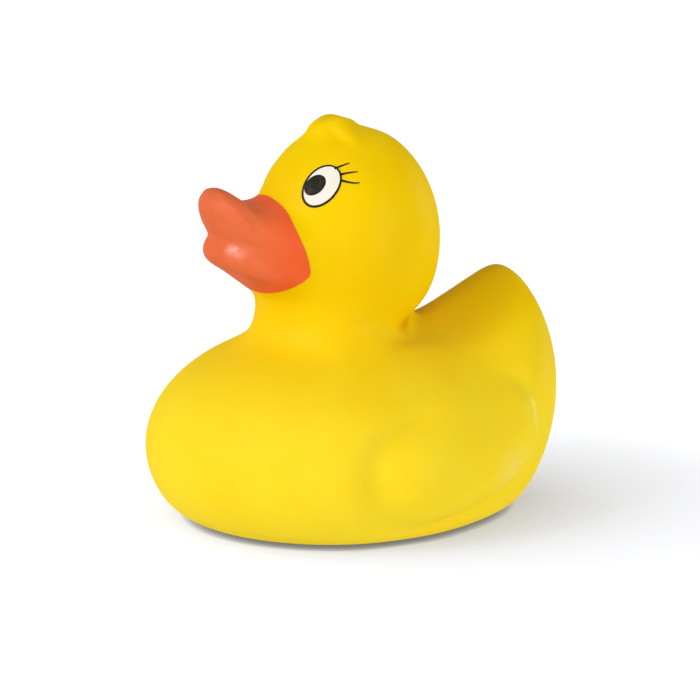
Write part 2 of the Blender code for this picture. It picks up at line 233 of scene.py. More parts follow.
def with_wing(points, flank):
    """The flank, lifted inside the wing's outline, which is drawn from the side."""
    y = points[:, 1] - WING_MIDDLE[0]
    z = points[:, 2] - WING_MIDDLE[1]
    along = y * math.cos(WING_TILT) + z * math.sin(WING_TILT)
    across = z * math.cos(WING_TILT) - y * math.sin(WING_TILT)
    power = WING_SQUARENESS
    shares = np.abs(2 * along / WING_LENGTH), np.abs(2 * across / WING_DEPTH)
    level = (shares[0] ** power + shares[1] ** power) ** (1 / power)
    outline = (level - 1) * WING_DEPTH / 2
    tip = eased(along, *TIP_SPAN)
    open_top = eased(along, *OPEN_TOP_BEGINS) * (1 - tip) * (across > 0)
    inside = eased(-outline, 0.0, between(WING_EDGES, tip))
    lift = between((inside, 1 - eased(across, *LIFT_FADES)), open_top)
    later = eased(along, *GROOVE_THINS)
    groove = np.exp(-((outline / between(GROOVE_HALF_WIDTHS, later)) ** 2))
    return flank - between(WING_RISES, tip) * lift + between(GROOVE_DEPTHS, later) * (1 - open_top) * groove


print("the wing is", WING_LENGTH, "mm long and", WING_DEPTH, "mm deep")

# %% [markdown]
# ## Neck and head
# A short neck carries an egg-shaped head. In front and at the sides the neck flows into the breast with
# a wide fillet. At the nape the head meets the back in a tight fold, with a small pit at each end of it.

# %% Neck and head
NECK = {"middle": (0.0, -4.2, 38.2), "size": (27.9, 25.9, 24.7)}
HEAD = {"middle": (0.0, 0.1, 53.0), "size": (34.8, 35.6, 43.6)}
THROAT_FILLET = 9.4
SIDE_FILLET = 13.0
HEAD_FILLET = 5.1
FOLD_FILLETS = (3.0, 1.4)
SIDE_SPAN = (-16.0, -9.0)
FOLD_SPAN = (-1.0, 7.0)
NAPE_SPAN = (6.0, 9.0)
PIT_MIDDLE = (9.0, 8.3, 38.0)
PIT_RADIUS = 2.8
PIT_DEPTH = 0.5
NAPE_MIDDLE = (6.0, 14.0, 37.2)
NAPE_RADIUS = 3.6
NAPE_DEPTH = 2.8


def near(points, middle, radius):
    """1 at a place, falling smoothly to 0 around it."""
    return np.exp(-((np.linalg.norm(points - middle, axis=1) / radius) ** 2))


def with_neck_and_head(points, body):
    """The body with the neck and the head on it."""
    y = points[:, 1]
    fold = eased(y, *FOLD_SPAN)
    tight = between(FOLD_FILLETS, eased(y, *NAPE_SPAN))
    wide = between((THROAT_FILLET, SIDE_FILLET), eased(y, *SIDE_SPAN))
    body = joined(body, lump(points, **NECK), between((wide, tight), fold))
    head = lump(points, **HEAD) + NAPE_DEPTH * near(points, NAPE_MIDDLE, NAPE_RADIUS)
    body = joined(body, head, between((HEAD_FILLET, tight), fold))
    return body + PIT_DEPTH * near(points, PIT_MIDDLE, PIT_RADIUS)


print("the head is", HEAD["size"], "mm wide, long and high")

# %% [markdown]
# ## The tuft
# A small tuft sits on the crown. It rises softly in front and stops short behind, at a slight dip in
# the crown. On each side a lick of feathers curls down from it, with a crease along its front.

# %% Tuft and licks
TUFT = {"middle": (0.0, -2.4, 73.0), "size": (8.8, 9.6, 6.0), "squareness": 2.2, "section": 2.6}
TUFT_FILLETS = (3.2, 0.7)
TUFT_SPAN = (-5.0, 0.0)
DIP_MIDDLE = (0.0, 4.8, 74.6)
DIP_RADIUS = 3.2
DIP_DEPTH = 0.35
LICK_ROOT = np.array((2.0, -2.4, 74.0))
LICK_TIP = np.array((6.4, -2.0, 72.2))
LICK_RADII = (2.2, 1.6)
LICK_FILLET = 2.0
CREASE_START = np.array((3.2, -5.2, 74.5))
CREASE_END = np.array((7.0, -3.9, 72.4))
CREASE_HALF_WIDTH = 1.0
CREASE_DEPTH = 0.3


def along_stroke(points, start, end):
    """How far along a straight stroke points lie, from 0 to 1, and how far off it."""
    way = end - start
    share = np.clip((points - start) @ way / (way @ way), 0.0, 1.0)
    return share, np.linalg.norm(points - start - share[:, None] * way, axis=1)


def with_tuft(points, head):
    """The head with its tuft and the two licks."""
    crown = head + DIP_DEPTH * near(points, DIP_MIDDLE, DIP_RADIUS)
    fillet = between(TUFT_FILLETS, eased(points[:, 1], *TUFT_SPAN))
    crown = joined(crown, lump(points, **TUFT), fillet)
    share, off = along_stroke(points, LICK_ROOT, LICK_TIP)
    crown = joined(crown, off - between(LICK_RADII, share), LICK_FILLET)
    off = along_stroke(points, CREASE_START, CREASE_END)[1]
    return crown + CREASE_DEPTH * np.exp(-((off / CREASE_HALF_WIDTH) ** 2))


print("each lick is", round(float(np.linalg.norm(LICK_TIP - LICK_ROOT)), 1), "mm long")

# %% [markdown]
# ## The beak
# The cheek swells out of the face. Two lips stand on its front: a flat lower one, and an upper one that
# leans forward like a raised visor. Both bend back and down at their sides, as a duck's bill does. The
# visor has a fine bead along its rim and a wide fillet behind it, and a short groove draws each corner
# of the mouth.

# %% Beak
CHEEK = {
    "middle": (0.0, -13.2, 51.5),
    "size": (25.8, 22.6, 17.0),
    "tilt": 21.5,
    "squareness": 2.5,
    "section": 2.5,
}
CHEEK_FILLETS = (6.4, 3.5)
BRIDGE_SPAN = (56.0, 61.0)
LOWER_LIP = {
    "middle": (0.0, -21.7, 52.1),
    "size": (23.0, 13.2, 7.4),
    "tilt": 9.0,
    "squareness": 2.3,
    "section": 2.3,
    "droop": 2.6,
    "sweep": 4.0,
}
LOWER_LIP_FILLET = 3.5
UPPER_LIP = {
    "middle": (0.0, -24.0, 57.4),
    "size": (20.0, 15.1, 7.2),
    "tilt": 57.2,
    "squareness": 2.0,
    "section": 2.3,
    "droop": 2.1,
    "sweep": 3.2,
}
UPPER_LIP_FILLETS = (1.6, 6.5)
VISOR_SPAN = (0.0, 3.0)
BEAD_BEHIND = 0.5
BEAD_HALF_WIDTH = 0.5
BEAD_HEIGHT = 0.35
BEAD_RISES = (1.0, 5.0)
BEAD_FADES = (8.8, 10.0)
MOUTH_HEIGHT = 56.4
MOUTH_DROOP = 4.3
MOUTH_HALF_WIDTH = 11.1
MOUTH_CORNER_X = 9.4
MOUTH_CORNER_HALF_LENGTH = 1.6
MOUTH_GROOVE_DEPTH = 0.25
MOUTH_GROOVE_HALF_WIDTH = 0.8
MOUTH_SPAN = (18.0, 21.0)


def with_beak(points, head):
    """The head with the cheek, the two lips and the corners of the mouth."""
    x, y, z = points.T
    beak = joined(head, lump(points, **CHEEK), between(CHEEK_FILLETS, eased(z, *BRIDGE_SPAN)))
    beak = joined(beak, lump(points, **LOWER_LIP), LOWER_LIP_FILLET)
    tilt = math.radians(UPPER_LIP["tilt"])
    from_middle = y - UPPER_LIP["middle"][1], z - UPPER_LIP["middle"][2]
    behind = from_middle[0] * math.sin(tilt) + from_middle[1] * math.cos(tilt)
    bead = BEAD_HEIGHT * eased(x, *BEAD_RISES) * (1 - eased(x, *BEAD_FADES))
    bead = bead * np.exp(-(((behind - BEAD_BEHIND) / BEAD_HALF_WIDTH) ** 2))
    fillet = between(UPPER_LIP_FILLETS, eased(behind, *VISOR_SPAN))
    beak = joined(beak, lump(points, **UPPER_LIP) - bead, fillet)
    mouth = MOUTH_HEIGHT - MOUTH_DROOP * (x / MOUTH_HALF_WIDTH) ** 3
    above = (z - mouth) / MOUTH_GROOVE_HALF_WIDTH
    aside = (x - MOUTH_CORNER_X) / MOUTH_CORNER_HALF_LENGTH
    groove = np.exp(-(np.hypot(above, aside) ** 2))
    return beak + MOUTH_GROOVE_DEPTH * groove * eased(-y, *MOUTH_SPAN)


print("the visor leans back by", UPPER_LIP["tilt"], "degrees")

# %% [markdown]
# ## The whole duck
# The lumps are joined from the largest to the smallest. Both sides of the mould are alike, so the field
# reads only how far a point lies from the middle plane. The floor trims the breast to a flat base.

# %% Join the whole form
BASE_ROUNDING = 6.5


def duck(places):
    """The field of the whole moulding, for places in metres in the frame. It answers in metres."""
    points = (places - drawing_origin) / MM
    points[:, 0] = np.abs(points[:, 0])
    skin = with_wing(points, torso(points))
    skin = with_neck_and_head(points, skin)
    skin = with_beak(points, skin)
    skin = with_tuft(points, skin)
    return trimmed(skin, -points[:, 2], BASE_ROUNDING) * MM


print("the base is rounded by", BASE_ROUNDING, "mm")

# %% [markdown]
# ## From the field to a mesh
# The solid's own outside is already close to the field, but its faces are two or three millimetres
# wide. A voxel remesh gives an even net of small quads, and each point of the net is then moved along
# the field's slope until it lies on the zero level. A little smoothing between two such passes evens
# out the steps that the voxels leave.

# %% Helpers that read, move and write points
LEAST_STEEPNESS = 0.05


def slope_at(places, values, reach=0.01 * MM):
    """The field's gradient at places where it has these values."""
    columns = [(duck(places + reach * axis) - values) / reach for axis in np.eye(3)]
    return np.stack(columns, axis=1)


def settled(places, rounds, lift=0.0):
    """Moves places on to the skin, or above it by a lift."""
    for _ in range(rounds):
        values = duck(places)
        slope = slope_at(places, values)
        steepness = np.maximum((slope**2).sum(axis=1), LEAST_STEEPNESS)
        places = places + ((lift - values) / steepness)[:, None] * slope
    return places


def read_points(mesh):
    flat = np.empty(len(mesh.vertices) * 3, np.float32)
    mesh.vertices.foreach_get("co", flat)
    return flat.reshape(-1, 3).astype(float)


def write_points(mesh, places):
    mesh.vertices.foreach_set("co", places.astype(np.float32).ravel())
    mesh.update()


def new_piece(name, mesh):
    """Puts a bmesh into a named object and frees it."""
    data = bpy.data.meshes.new(name)
    mesh.to_mesh(data)
    mesh.free()
    piece = bpy.data.objects.new(name, data)
    bpy.context.scene.collection.objects.link(piece)
    return piece


def modifiers_applied(piece):
    """Swaps a piece's mesh for its evaluated one and clears the modifiers."""
    graph = bpy.context.evaluated_depsgraph_get()
    data = bpy.data.meshes.new_from_object(piece.evaluated_get(graph))
    piece.modifiers.clear()
    piece.data = data
    return piece


above_crown = np.array([[0.0, 0.0, 80.0]]) * MM + drawing_origin
print("a point above the crown settles at", settled(above_crown, rounds=8)[0])

# %% [markdown]
# The solid is hollow, so its mesh has two sides: the outside, which is refined here, and the walls of
# the hollow with the hole for the whistle. Only the hole joins the two, so the outside is all that can
# be reached from the crown, from face to face, without crossing the hole's lining.

# %% Split the solid into its outside and its hollow
HOLE_RADIUS = 7.52 * MM
HOLE_TOP = 3.2 * MM

solid = bmesh.new()
solid.from_mesh(frame["nodes"]["duck_body"].data)
bmesh.ops.remove_doubles(solid, verts=solid.verts, dist=0.001 * MM)
hole_axis = ((whistle_low + whistle_high) / 2).xy


def lines_the_hole(face):
    middle = face.calc_center_median()
    return (middle.xy - hole_axis).length < HOLE_RADIUS and middle.z < HOLE_TOP


crown = max(solid.faces, key=lambda face: face.calc_center_median().z)
outside = {crown}
waiting = [crown]
while waiting:
    for edge in waiting.pop().edges:
        for face in edge.link_faces:
            if face not in outside and not lines_the_hole(face):
                outside.add(face)
                waiting.append(face)
hollow = solid.copy()
hollow.faces.ensure_lookup_table()
solid.faces.index_update()
outside_numbers = {face.index for face in outside}
bmesh.ops.delete(hollow, geom=[hollow.faces[number] for number in outside_numbers], context="FACES")
bmesh.ops.delete(solid, geom=[face for face in solid.faces if face not in outside], context="FACES")
print("the solid has", len(solid.faces), "faces outside and", len(hollow.faces), "in its hollow")

# %% [markdown]
# The outside is closed where the whistle's hole was, then remeshed and settled. Its lowest points are
# laid flat on the floor.

# %% Refine the outside
SKIN_VOXEL = 0.54 * MM
FLAT_BELOW = 0.06 * MM


def refine(piece, voxel):
    remesh = piece.modifiers.new("even_net", "REMESH")
    remesh.mode = "VOXEL"
    remesh.voxel_size = voxel
    modifiers_applied(piece)
    write_points(piece.data, settled(read_points(piece.data), rounds=2))
    even = piece.modifiers.new("even_out", "SMOOTH")
    even.factor = 0.5
    even.iterations = 4
    modifiers_applied(piece)
    write_points(piece.data, settled(read_points(piece.data), rounds=3))


rims = [edge for edge in solid.edges if edge.is_boundary]
print("the hole for the whistle has", len(rims), "edges")
bmesh.ops.contextual_create(solid, geom=rims)
skin = new_piece("vinyl_skin", solid)
refine(skin, SKIN_VOXEL)
floor_points = read_points(skin.data)
floor_points[floor_points[:, 2] < FLAT_BELOW, 2] = 0.0
write_points(skin.data, floor_points)
print("the skin has", len(skin.data.polygons), "faces")

# %% [markdown]
# Where the head folds on to the back, the fold is tighter than the net is fine. The net is relaxed
# there alone, which leaves the small soft crease that a real moulding has.

# %% Relax the fold at the nape
FOLD_MIDDLE = np.array((0.0, 11.0, 36.0))
FOLD_END = np.array((9.8, 8.4, 38.2))
RELAXED_REACH = 3.6
LEAST_WEIGHT = 0.02
WEIGHT_GAIN = 2.0

drawn = (read_points(skin.data) - drawing_origin) / MM
drawn[:, 0] = np.abs(drawn[:, 0])
weights = np.exp(-((along_stroke(drawn, FOLD_MIDDLE, FOLD_END)[1] / RELAXED_REACH) ** 2))
crease = skin.vertex_groups.new(name="nape_fold")
for number in np.flatnonzero(weights > LEAST_WEIGHT):
    crease.add([int(number)], min(1.0, WEIGHT_GAIN * weights[number]), "REPLACE")
relax = skin.modifiers.new("relax_fold", "SMOOTH")
relax.vertex_group = crease.name
relax.factor = 0.5
relax.iterations = 45
modifiers_applied(skin)
skin.vertex_groups.clear()
print((weights > LEAST_WEIGHT).sum(), "corners were relaxed at the nape")

# %% [markdown]
# The hollow is cut back out of it with the solid's own walls. The refined outside lies up to about two
# millimetres inside the solid's at the nape and beside the tail, so the walls are first moved in
# wherever they would leave the skin too thin.

# %% Keep the walls of the hollow deep enough
THINNEST_WALL = 0.8 * MM
WALL_PASSES = 4

wall_corners = [corner for corner in hollow.verts if corner.co.z > HOLE_TOP]
wall_places = np.array([corner.co for corner in wall_corners])
moved = np.zeros(len(wall_places), bool)
for _ in range(WALL_PASSES):
    depths = duck(wall_places)
    slope = slope_at(wall_places, depths)
    excess = np.maximum(depths + THINNEST_WALL, 0.0)
    moved |= excess > 0
    wall_places -= (excess / np.maximum((slope**2).sum(axis=1), LEAST_STEEPNESS))[:, None] * slope
for corner, place in zip(wall_corners, wall_places):
    corner.co = place
print(moved.sum(), "of", len(wall_corners), "corners of the hollow were moved in")
print("the skin is at least", round(-duck(wall_places).max() / MM, 2), "mm thick")

# %% [markdown]
# The walls are turned inside out and closed below the base, and the block that they bound is taken
# out of the skin.

# %% Cut the hollow
CAP_DROP = 1.0 * MM

for face in hollow.faces:
    face.normal_flip()
rim = [edge for edge in hollow.edges if edge.is_boundary]
lowered = bmesh.ops.extrude_edge_only(hollow, edges=rim)["geom"]
low_corners = [part for part in lowered if isinstance(part, bmesh.types.BMVert)]
low_edges = [part for part in lowered if isinstance(part, bmesh.types.BMEdge)]
bmesh.ops.translate(hollow, verts=low_corners, vec=(0.0, 0.0, -CAP_DROP))
bmesh.ops.contextual_create(hollow, geom=low_edges)
bmesh.ops.recalc_face_normals(hollow, faces=hollow.faces)
core = new_piece("core", hollow)

cut = skin.modifiers.new("hollow", "BOOLEAN")
cut.operation = "DIFFERENCE"
cut.solver = "EXACT"
cut.object = core
modifiers_applied(skin)
bpy.data.objects.remove(core, do_unlink=True)
skin.data.shade_smooth()
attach(skin, next(iter(frame["bodies"])))
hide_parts("duck_body")
print("the hollow skin has", len(skin.data.polygons), "faces")

# %% [markdown]
# ## Materials
# Every finish is written as the real substance, with the colour as the sRGB hex that a colour picker
# gives. Blender works with linear light, so one function converts it. Another adds a node, sets its
# properties, and fills or links its sockets, so each material reads as a short list of nodes.

# %% Colour and node helpers
def linear(hex_colour):
    """An sRGB hex colour as linear light with full opacity."""
    channels = [int(hex_colour[start : start + 2], 16) / 255 for start in (1, 3, 5)]
    return (*[c / 12.92 if c <= 0.04045 else ((c + 0.055) / 1.055) ** 2.4 for c in channels], 1.0)


def input_of(node, name):
    """A node's input by its number, or by the name that it shows."""
    if isinstance(name, int):
        return node.inputs[name]
    return next(socket for socket in node.inputs if socket.name == name and socket.enabled)


def add_node(tree, kind, sockets=(), **properties):
    """Adds a node, sets its properties, and fills each input with a value or a link."""
    made = tree.nodes.new(kind)
    for name, value in properties.items():
        setattr(made, name, value)
    for name, value in dict(sockets).items():
        socket = input_of(made, name)
        if isinstance(value, bpy.types.NodeSocket):
            tree.links.new(value, socket)
        else:
            socket.default_value = value
    return made


def new_material(name):
    """A material with an empty node tree."""
    material = bpy.data.materials.new(name)
    material.use_nodes = True
    material.node_tree.nodes.clear()
    return material


def noise(tree, place, size_mm, detail):
    """Noise from 0 to 1 whose cells are this many millimetres wide."""
    made = add_node(
        tree, "ShaderNodeTexNoise", {"Vector": place, "Scale": 1 / (size_mm * MM), "Detail": detail}
    )
    return made.outputs["Fac"]


def ranged(tree, value, low, high, start=0.0, end=1.0):
    """Turns a value that runs from start to end into one that runs from low to high."""
    made = add_node(
        tree,
        "ShaderNodeMapRange",
        {"Value": value, "From Min": start, "From Max": end, "To Min": low, "To Max": high},
    )
    return made.outputs["Result"]


def two_tone(tree, factor, low_colour, high_colour):
    """A ramp between two sRGB hex colours, over the middle range of a noise."""
    ramp = add_node(tree, "ShaderNodeValToRGB", {"Fac": factor})
    ramp.color_ramp.elements[0].position = 0.3
    ramp.color_ramp.elements[0].color = linear(low_colour)
    ramp.color_ramp.elements[1].position = 0.7
    ramp.color_ramp.elements[1].color = linear(high_colour)
    return ramp.outputs["Color"]


def mixed(tree, factor, first, second):
    """A mix of two colours, the first at 0 and the second at 1."""
    made = add_node(tree, "ShaderNodeMix", {"Factor": factor, "A": first, "B": second}, data_type="RGBA")
    return made.outputs["Result"]


def patch(tree, place, middle, radii):
    """A soft patch of the same size on the left and the right: 1 at its middle, 0 beyond its radii."""
    parts = add_node(tree, "ShaderNodeSeparateXYZ", {"Vector": place})
    either_side = add_node(tree, "ShaderNodeMath", {0: parts.outputs["X"]}, operation="ABSOLUTE")
    mirrored = add_node(
        tree,
        "ShaderNodeCombineXYZ",
        {"X": either_side.outputs["Value"], "Y": parts.outputs["Y"], "Z": parts.outputs["Z"]},
    )
    from_middle = add_node(
        tree,
        "ShaderNodeMapping",
        {
            "Vector": mirrored.outputs["Vector"],
            "Location": tuple(np.array(middle) * MM + drawing_origin),
            "Scale": tuple(np.array(radii) * MM),
        },
        vector_type="TEXTURE",
    )
    ball = add_node(
        tree, "ShaderNodeTexGradient", {"Vector": from_middle.outputs["Vector"]}, gradient_type="SPHERICAL"
    )
    return ball.outputs["Fac"]


print("half grey, #808080, is", round(linear("#808080")[0], 3), "in linear light")

# %% [markdown]
# ## Soft PVC
# Plastisol cast in an oven gives plasticised PVC: a satin, slightly waxy yellow that lets a little
# light in, so its shadows stay warm. The yellow is painted paler low on the body and deeper on the head,
# as painted light below and painted shade above. The casting also leaves faint clouds in the pigment a
# centimetre wide. The mould's etched wall leaves a grain of about a tenth of a millimetre, drawn here four
# times as coarse so that it shows. In the crease at each end of the nape the colour is darkened towards
# brown, as painted shade.
#
# Soft PVC has hardly any gloss of its own. What shine there is lies on it as a faint coat, which keeps
# the edges yellow where a glossy plastic would mirror the white room. The skin is pulled out of the
# mould past the wing's rear edge and lower flank, which are rubbed smoother and shine more.

# %% Soft PVC material
PIGMENT_CLOUD_MM = 11.0
SHINE_PATCH_MM = 3.0
MOULD_GRAIN_MM = 0.45
PALE_BELOW_MM = 24.0
DEEP_ABOVE_MM = 40.0
# Painted shade in the crease at each end of the nape.
CREASE = {"middle": (9.6, 7.6, 37.7), "radii": (3.6, 3.8, 2.6)}
NAPE_SHADE_SHARE = 0.6
NAPE_SHADE_FULL_AT = 0.8
RUBBED_REAR = {"middle": (24.0, 27.9, 20.6), "radii": (2.0, 1.6, 4.8)}
RUBBED_FLANK = {"middle": (29.8, 19.8, 13.0), "radii": (5.5, 9.0, 5.4)}
RUBBED_FULL_AT = 0.9
COAT_WEIGHTS = (0.1, 0.8)


def soft_pvc():
    material = new_material("cast_soft_pvc_yellow")
    tree = material.node_tree
    place = add_node(tree, "ShaderNodeTexCoord").outputs["Object"]
    clouds = noise(tree, place, PIGMENT_CLOUD_MM, 2.0)
    height = add_node(tree, "ShaderNodeSeparateXYZ", {"Vector": place}).outputs["Z"]
    # Painted light and shade: the yellow is paler low on the body and deeper on the head.
    deep = ranged(tree, height, 0.0, 1.0, PALE_BELOW_MM * MM, DEEP_ABOVE_MM * MM)
    pale_yellow = two_tone(tree, clouds, "#FFD921", "#FFDE2B")
    deep_yellow = two_tone(tree, clouds, "#F7CA00", "#FAD002")
    yellow = mixed(tree, deep, pale_yellow, deep_yellow)
    # Painted shade: the crease at each end of the nape is darkened towards brown.
    painted_nape_shade = ranged(tree, patch(tree, place, **CREASE), 0.0, NAPE_SHADE_SHARE, 0.0, NAPE_SHADE_FULL_AT)
    colour = mixed(tree, painted_nape_shade, yellow, linear("#CC8A00"))
    rear = patch(tree, place, **RUBBED_REAR)
    flank = patch(tree, place, **RUBBED_FLANK)
    rubbed = add_node(tree, "ShaderNodeMath", {0: rear, 1: flank}, operation="MAXIMUM")
    grain = noise(tree, place, MOULD_GRAIN_MM, 1.0)
    bump = add_node(tree, "ShaderNodeBump", {"Height": grain, "Strength": 0.12, "Distance": 0.02 * MM})
    shader = add_node(
        tree,
        "ShaderNodeBsdfPrincipled",
        {
            "Base Color": colour,
            "Roughness": ranged(tree, noise(tree, place, SHINE_PATCH_MM, 3.0), 0.38, 0.5),
            "Normal": bump.outputs["Normal"],
            "IOR": 1.53,
            "Specular IOR Level": 0.0,
            "Coat Weight": ranged(tree, rubbed.outputs["Value"], *COAT_WEIGHTS, 0.0, RUBBED_FULL_AT),
            "Coat Roughness": 0.4,
            "Subsurface Weight": 0.2,
            "Subsurface Radius": (1.0, 0.55, 0.12),
            "Subsurface Scale": 1.2 * MM,
        },
    )
    add_node(tree, "ShaderNodeOutputMaterial", {"Surface": shader.outputs["BSDF"]})
    return material


def finished_with(piece, material):
    piece.data.materials.clear()
    piece.data.materials.append(material)


finished_with(skin, soft_pvc())
print("the vinyl's material has", len(skin.data.materials[0].node_tree.nodes), "nodes")

# %% [markdown]
# ## The sprayed beak
# The mask leaves a crisp border round the cheek. Paint is too thin to have a body of its own, but a film
# a tenth of a millimetre proud, thicker than the real one, gives an edge that shows. It is cut from the
# skin's own net along the border, lifted and closed at its back.

# %% The border of the mask
BORDER_MIDDLE_Z = 49.6
BORDER_HALF_WIDTH = 16.4
BORDER_ABOVE = 12.6
BORDER_BELOW = 5.0
ROUNDNESS_ABOVE = 2.1
ROUNDNESS_BELOW = 1.75
BORDER_WRAP = 0.7
WRAP_BEGINS_Y = -18.0
BORDER_BEGINS_Y = -10.0
LIPS_BEGIN_Y = -20.5


def beyond_mask(places):
    """How far places lie beyond the mask's border, negative on the beak.

    The border is drawn on the face laid flat: a place counts as farther out the more it lies round
    the side of the head.
    """
    points = (places - drawing_origin) / MM
    round_the_side = np.abs(points[:, 0]) + BORDER_WRAP * (points[:, 1] - WRAP_BEGINS_Y)
    across = np.maximum(round_the_side, 0.0) / BORDER_HALF_WIDTH
    up = np.maximum(points[:, 2] - BORDER_MIDDLE_Z, 0.0) / BORDER_ABOVE
    down = np.maximum(BORDER_MIDDLE_Z - points[:, 2], 0.0) / BORDER_BELOW
    above = (across**ROUNDNESS_ABOVE + up**ROUNDNESS_ABOVE) ** (1 / ROUNDNESS_ABOVE)
    below = (across**ROUNDNESS_BELOW + down**ROUNDNESS_BELOW) ** (1 / ROUNDNESS_BELOW)
    level = np.where(points[:, 2] > BORDER_MIDDLE_Z, above, below) - 1
    lips = (points[:, 1] - LIPS_BEGIN_Y) / BORDER_HALF_WIDTH
    behind = (points[:, 1] - BORDER_BEGINS_Y) / BORDER_HALF_WIDTH
    return np.maximum(np.minimum(level, lips), behind)


print("the paint reaches", BORDER_MIDDLE_Z + BORDER_ABOVE, "mm up the face")

# %% [markdown]
# The cut finds every edge of the net that crosses the border, puts a point where it crosses, and joins
# those points across the faces. What lies beyond is then thrown away, with the edges that lost their
# faces.

# %% Cut the film from the skin's net
PAINT_LIFT = 0.11 * MM
PAINT_DEPTH = 0.10 * MM
FILM_ABOVE = 40.0 * MM
WALL_DEPTH = 0.5 * MM
SHARP_ANGLE = math.radians(50.0)


def cut_along(mesh, level):
    """Keeps the part of a bmesh where the level is negative, with a clean edge at zero."""
    bmesh.ops.triangulate(mesh, faces=mesh.faces)
    values = dict(zip(mesh.verts, level(np.array([corner.co for corner in mesh.verts]))))
    crossed = [edge for edge in mesh.edges if values[edge.verts[0]] * values[edge.verts[1]] < 0]
    # A dict names each face once, as a set does, but in the same order in every run.
    touched = dict.fromkeys(face for edge in crossed for face in edge.link_faces)
    for edge in crossed:
        start, end = edge.verts
        share = values[start] / (values[start] - values[end])
        made = bmesh.utils.edge_split(edge, start, share)[1]
        values[made] = 0.0
    for face in touched:
        ends = [corner for corner in face.verts if values[corner] == 0.0]
        if len(ends) == 2:
            bmesh.utils.face_split(face, ends[0], ends[1])
    beyond = [face for face in mesh.faces if max(values[corner] for corner in face.verts) > 0]
    bmesh.ops.delete(mesh, geom=beyond, context="FACES")


def film(name, mesh, lift, depth):
    """A thin closed film from an open bmesh that lies on the skin."""
    piece = new_piece(name, mesh)
    write_points(piece.data, settled(read_points(piece.data), rounds=3, lift=lift))
    body = piece.modifiers.new("body", "SOLIDIFY")
    body.thickness = lift + depth
    body.offset = -1.0
    modifiers_applied(piece)
    piece.data.shade_smooth()
    piece.data.set_sharp_from_angle(angle=SHARP_ANGLE)
    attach(piece, next(iter(frame["bodies"])))
    return piece


painted = bmesh.new()
painted.from_mesh(skin.data)
far_off = [
    corner for corner in painted.verts
    if corner.co.y > drawing_origin[1] + BORDER_BEGINS_Y * MM or corner.co.z < FILM_ABOVE
]
bmesh.ops.delete(painted, geom=far_off, context="VERTS")
cut_along(painted, beyond_mask)
depths = duck(np.array([corner.co for corner in painted.verts]))
inner = [corner for corner, depth in zip(painted.verts, depths) if depth < -WALL_DEPTH]
bmesh.ops.delete(painted, geom=inner, context="VERTS")
left_loose = [corner for corner in painted.verts if not corner.link_faces]
bmesh.ops.delete(painted, geom=left_loose, context="VERTS")
beak_paint = film("beak_paint", painted, PAINT_LIFT, PAINT_DEPTH)
print("the beak's film has", len(beak_paint.data.polygons), "faces")

# %% [markdown]
# The paint is a sprayed satin vinyl lacquer. Its orange is paler on the lips and deeper on the cheek.
# On each side of the lower lip it ran together as it dried, and the run shines, with streaks where it
# was thin.

# %% Beak paint material
PAINT_CLOUD_MM = 5.0
SATIN_PATCH_MM = 1.5
PALE_BEFORE_Y = -24.0
DEEP_BEHIND_Y = -19.0
RUN = {"middle": (7.0, -25.2, 53.3), "radii": (3.2, 4.2, 2.7)}
RUN_STREAK_MM = 0.9
RUN_SPAN = (0.05, 0.4)
STREAK_SPAN = (0.38, 0.62)


def beak_lacquer():
    material = new_material("sprayed_orange_vinyl_paint")
    tree = material.node_tree
    place = add_node(tree, "ShaderNodeTexCoord").outputs["Object"]
    clouds = noise(tree, place, PAINT_CLOUD_MM, 2.0)
    backwards = add_node(tree, "ShaderNodeSeparateXYZ", {"Vector": place}).outputs["Y"]
    # The orange grows deeper from the lips back to the cheek.
    deeper_behind = ranged(tree, backwards, 0.0, 1.0, PALE_BEFORE_Y * MM, DEEP_BEHIND_Y * MM)
    lip_orange = two_tone(tree, clouds, "#E56B3C", "#E97143")
    cheek_orange = two_tone(tree, clouds, "#EE5E2E", "#F26432")
    run = ranged(tree, patch(tree, place, **RUN), 0.0, 1.0, *RUN_SPAN)
    streaks = ranged(tree, noise(tree, place, RUN_STREAK_MM, 2.0), 0.35, 1.0, *STREAK_SPAN)
    streaked = add_node(tree, "ShaderNodeMath", {0: run, 1: streaks}, operation="MULTIPLY")
    shader = add_node(
        tree,
        "ShaderNodeBsdfPrincipled",
        {
            "Base Color": mixed(tree, deeper_behind, lip_orange, cheek_orange),
            "Roughness": ranged(tree, noise(tree, place, SATIN_PATCH_MM, 2.0), 0.26, 0.34),
            "IOR": 1.5,
            "Specular IOR Level": 0.0,
            "Coat Weight": ranged(tree, streaked.outputs["Value"], 0.12, 1.0),
            "Coat Roughness": 0.24,
        },
    )
    add_node(tree, "ShaderNodeOutputMaterial", {"Surface": shader.outputs["BSDF"]})
    return material


finished_with(beak_paint, beak_lacquer())
print("the paint's material has", len(beak_paint.data.materials[0].node_tree.nodes), "nodes")

# %% [markdown]
# ## The printed eyes
# A silicone pad presses ink on to the head. White goes down first, then black: the pupil, the outline
# and three lashes. The print is drawn flat, as on the pad, and each point is then pushed on to the head.
# An image could carry it, but films with edges of their own stay crisp from close up.

# %% The pad's plane
EYE_MIDDLE = (10.6, -10.3, 64.9)
PRESS_ROUNDS = 6
INK_LIFT = 0.03 * MM
INK_DEPTH = 0.06 * MM

eye_middle = settled(np.array([EYE_MIDDLE]) * MM + drawing_origin, rounds=PRESS_ROUNDS)
eye_normal = slope_at(eye_middle, duck(eye_middle))[0]
eye_normal /= np.linalg.norm(eye_normal)
pad_u = np.cross((0.0, 0.0, 1.0), eye_normal)
pad_u /= np.linalg.norm(pad_u)
pad_w = np.cross(eye_normal, pad_u)
print("the eye is printed at", eye_middle[0] / MM, "facing", eye_normal)


def pressed_on(flat):
    """Places on the skin for points drawn on the pad, in millimetres from the eye's middle."""
    places = eye_middle[0] + MM * (flat[:, :1] * pad_u + flat[:, 1:] * pad_w)
    for _ in range(PRESS_ROUNDS):
        values = duck(places)
        fall = slope_at(places, values) @ eye_normal
        places = places - (values / fall)[:, None] * eye_normal
    return places


